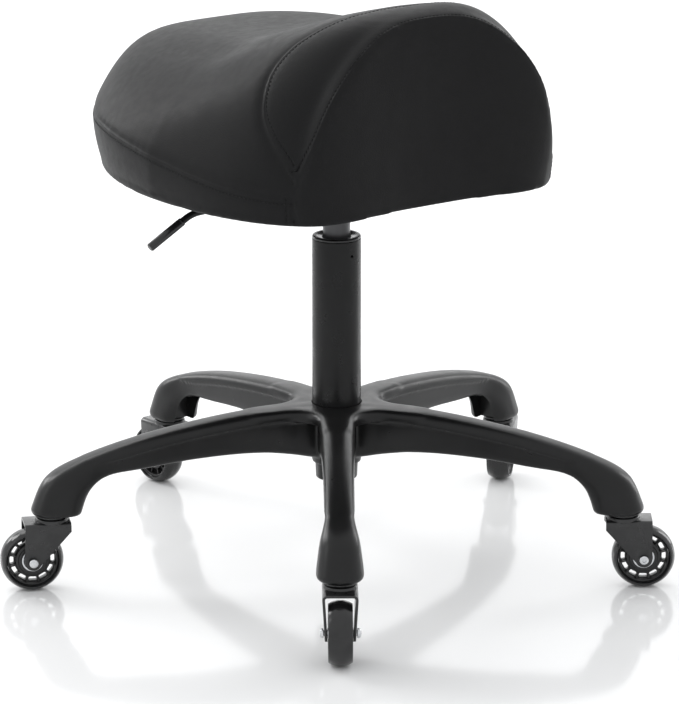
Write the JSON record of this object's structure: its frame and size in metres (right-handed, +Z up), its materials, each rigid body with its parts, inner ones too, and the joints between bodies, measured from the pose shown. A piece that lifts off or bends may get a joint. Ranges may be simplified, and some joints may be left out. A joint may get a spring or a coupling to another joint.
{
  "type": "saddle stool",
  "caption": "Saddle-seat stool: padded black seat on a gas lift with side lever, swivelling on a star base with rolling casters.",
  "frame": {"origin": "on the floor under the middle of the whole object, wheels as built", "axes": "+Z up; the seat's front faces -Y; +X is to the sitter's left when facing -Y"},
  "size_m": [0.6716, 0.654, 0.602],
  "materials": {
    "seat_cover": "fine-grained black artificial leather, soft satin",
    "base_nylon": "black moulded nylon, satin",
    "black_steel": "black powder coat, satin",
    "fork_black": "black electrocoat, glossy",
    "gloss_plastic": "black plastic, glossy",
    "spring_tube": "dark grey, semi-gloss",
    "tread": "smoke-grey polyurethane, glossy",
    "wheel_core": "black nylon, satin",
    "bright_steel": "bright plated steel",
    "zinc_steel": "zinc-plated steel",
    "board": "birch plywood, raw",
    "dust_cloth": "thin black non-woven cloth"
  },
  "bodies": {
    "base": {"star_base": "base_nylon", "column_tube": "black_steel", "guide_bush": "gloss_plastic", "thrust_bearing": "bright_steel", "caster_stem_1": "zinc_steel", "caster_stem_2": "zinc_steel", "caster_stem_3": "zinc_steel", "caster_stem_4": "zinc_steel", "caster_stem_5": "zinc_steel"},
    "piston": {"piston_rod": "bright_steel", "rod_clip": "bright_steel"},
    "seat": {"gas_cylinder": "spring_tube", "cone_socket": "black_steel", "mount_plate": "black_steel", "plate_bolt_1": "bright_steel", "plate_bolt_2": "bright_steel", "plate_bolt_3": "bright_steel", "plate_bolt_4": "bright_steel", "lever_pin": "bright_steel", "dust_cover": "dust_cloth", "seat_board": "board", "seat_cushion": "seat_cover"},
    "lever": {"lever_rod": "black_steel", "lever_sleeve": "gloss_plastic"},
    "button": {"release_button": "bright_steel"},
    "caster_1": {"fork_1": "fork_black", "axle_bolt_1": "bright_steel", "axle_nut_1": "bright_steel"},
    "wheel_1": {"wheel_tyre_1": "tread", "wheel_core_1": "wheel_core", "wheel_bearings_1": "bright_steel"},
    "caster_2": {"fork_2": "fork_black", "axle_bolt_2": "bright_steel", "axle_nut_2": "bright_steel"},
    "wheel_2": {"wheel_tyre_2": "tread", "wheel_core_2": "wheel_core", "wheel_bearings_2": "bright_steel"},
    "caster_3": {"fork_3": "fork_black", "axle_bolt_3": "bright_steel", "axle_nut_3": "bright_steel"},
    "wheel_3": {"wheel_tyre_3": "tread", "wheel_core_3": "wheel_core", "wheel_bearings_3": "bright_steel"},
    "caster_4": {"fork_4": "fork_black", "axle_bolt_4": "bright_steel", "axle_nut_4": "bright_steel"},
    "wheel_4": {"wheel_tyre_4": "tread", "wheel_core_4": "wheel_core", "wheel_bearings_4": "bright_steel"},
    "caster_5": {"fork_5": "fork_black", "axle_bolt_5": "bright_steel", "axle_nut_5": "bright_steel"},
    "wheel_5": {"wheel_tyre_5": "tread", "wheel_core_5": "wheel_core", "wheel_bearings_5": "bright_steel"}
  },
  "joints": [
    {"name": "seat_swivel", "type": "hinge", "parent": "base", "child": "piston", "pos_m": [0.00524, -0.03034, 0], "axis": [0, 0, 1], "continuous": true},
    {"name": "seat_lift", "type": "slide", "parent": "piston", "child": "seat", "axis": [0, 0, 1], "range_m": [-0.03, 0.11]},
    {"name": "lever_lift", "type": "hinge", "parent": "seat", "child": "lever", "pos_m": [-0.02476, -0.03034, 0.3986], "axis": [0, 1, 0], "range_deg": [0, 4.5], "stiffness_Nm_per_rad": 1.2, "springref_deg": -20.05},
    {"name": "button_press", "type": "slide", "parent": "seat", "child": "button", "axis": [0, 0, 1], "range_m": [-0.0024, 0]},
    {"name": "caster_swivel_1", "type": "hinge", "parent": "base", "child": "caster_1", "pos_m": [-0.16826, -0.27997, 0.075], "axis": [0, 0, 1], "continuous": true},
    {"name": "wheel_roll_1", "type": "hinge", "parent": "caster_1", "child": "wheel_1", "pos_m": [-0.18025, -0.29721, 0.032], "axis": [0.8211, -0.5707, 0], "continuous": true},
    {"name": "caster_swivel_2", "type": "hinge", "parent": "base", "child": "caster_2", "pos_m": [0.18903, -0.27248, 0.075], "axis": [0, 0, 1], "continuous": true},
    {"name": "wheel_roll_2", "type": "hinge", "parent": "caster_2", "child": "wheel_2", "pos_m": [0.20607, -0.28477, 0.032], "axis": [0.585, 0.8111, 0], "continuous": true},
    {"name": "caster_swivel_3", "type": "hinge", "parent": "base", "child": "caster_3", "pos_m": [0.29233, 0.06964, 0.075], "axis": [0, 0, 1], "continuous": true},
    {"name": "wheel_roll_3", "type": "hinge", "parent": "caster_3", "child": "wheel_3", "pos_m": [0.30738, 0.08428, 0.032], "axis": [-0.6972, 0.7169, 0], "continuous": true},
    {"name": "caster_swivel_4", "type": "hinge", "parent": "base", "child": "caster_4", "pos_m": [-0.00113, 0.27359, 0.075], "axis": [0, 0, 1], "continuous": true},
    {"name": "wheel_roll_4", "type": "hinge", "parent": "caster_4", "child": "wheel_4", "pos_m": [-0.0023, 0.29456, 0.032], "axis": [-0.9984, -0.0558, 0], "continuous": true},
    {"name": "caster_swivel_5", "type": "hinge", "parent": "base", "child": "caster_5", "pos_m": [-0.28579, 0.05753, 0.075], "axis": [0, 0, 1], "continuous": true},
    {"name": "wheel_roll_5", "type": "hinge", "parent": "caster_5", "child": "wheel_5", "pos_m": [-0.30485, 0.06634, 0.032], "axis": [-0.4195, -0.9078, 0], "continuous": true}
  ],
  "couplings": [
    {"joint": "button_press", "follows": "lever_lift", "m_per_rad": -0.03}
  ]
}
